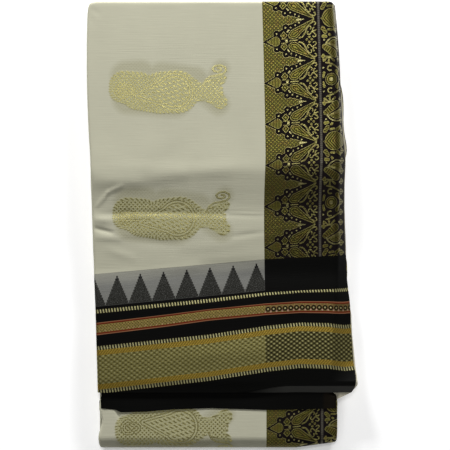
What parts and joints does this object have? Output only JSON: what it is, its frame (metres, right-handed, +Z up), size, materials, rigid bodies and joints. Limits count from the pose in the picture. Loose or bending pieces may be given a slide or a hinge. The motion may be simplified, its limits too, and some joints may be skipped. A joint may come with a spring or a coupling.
{
  "type": "folded silk saree",
  "caption": "Silk saree folded into a flat oblong packet, with a spired gold border and a banded pallu on its top panel.",
  "frame": {"origin": "centre of the packet's outline, on the surface that it lies on", "axes": "+Z up, +Y along the packet towards its end fold, +X across it towards the border"},
  "size_m": [0.3014, 0.5019, 0.0306],
  "materials": {
    "field_silk": "soft silk sheen",
    "pallu_silk": "soft silk sheen",
    "inner_silk": "soft silk sheen"
  },
  "bodies": {
    "root": {"top_panel": "field_silk", "pallu_second_ply": "pallu_silk", "inner_fold": "inner_silk", "lower_panel": "field_silk", "underside_panel": "field_silk", "hidden_layers": "inner_silk"}
  },
  "joints": []
}
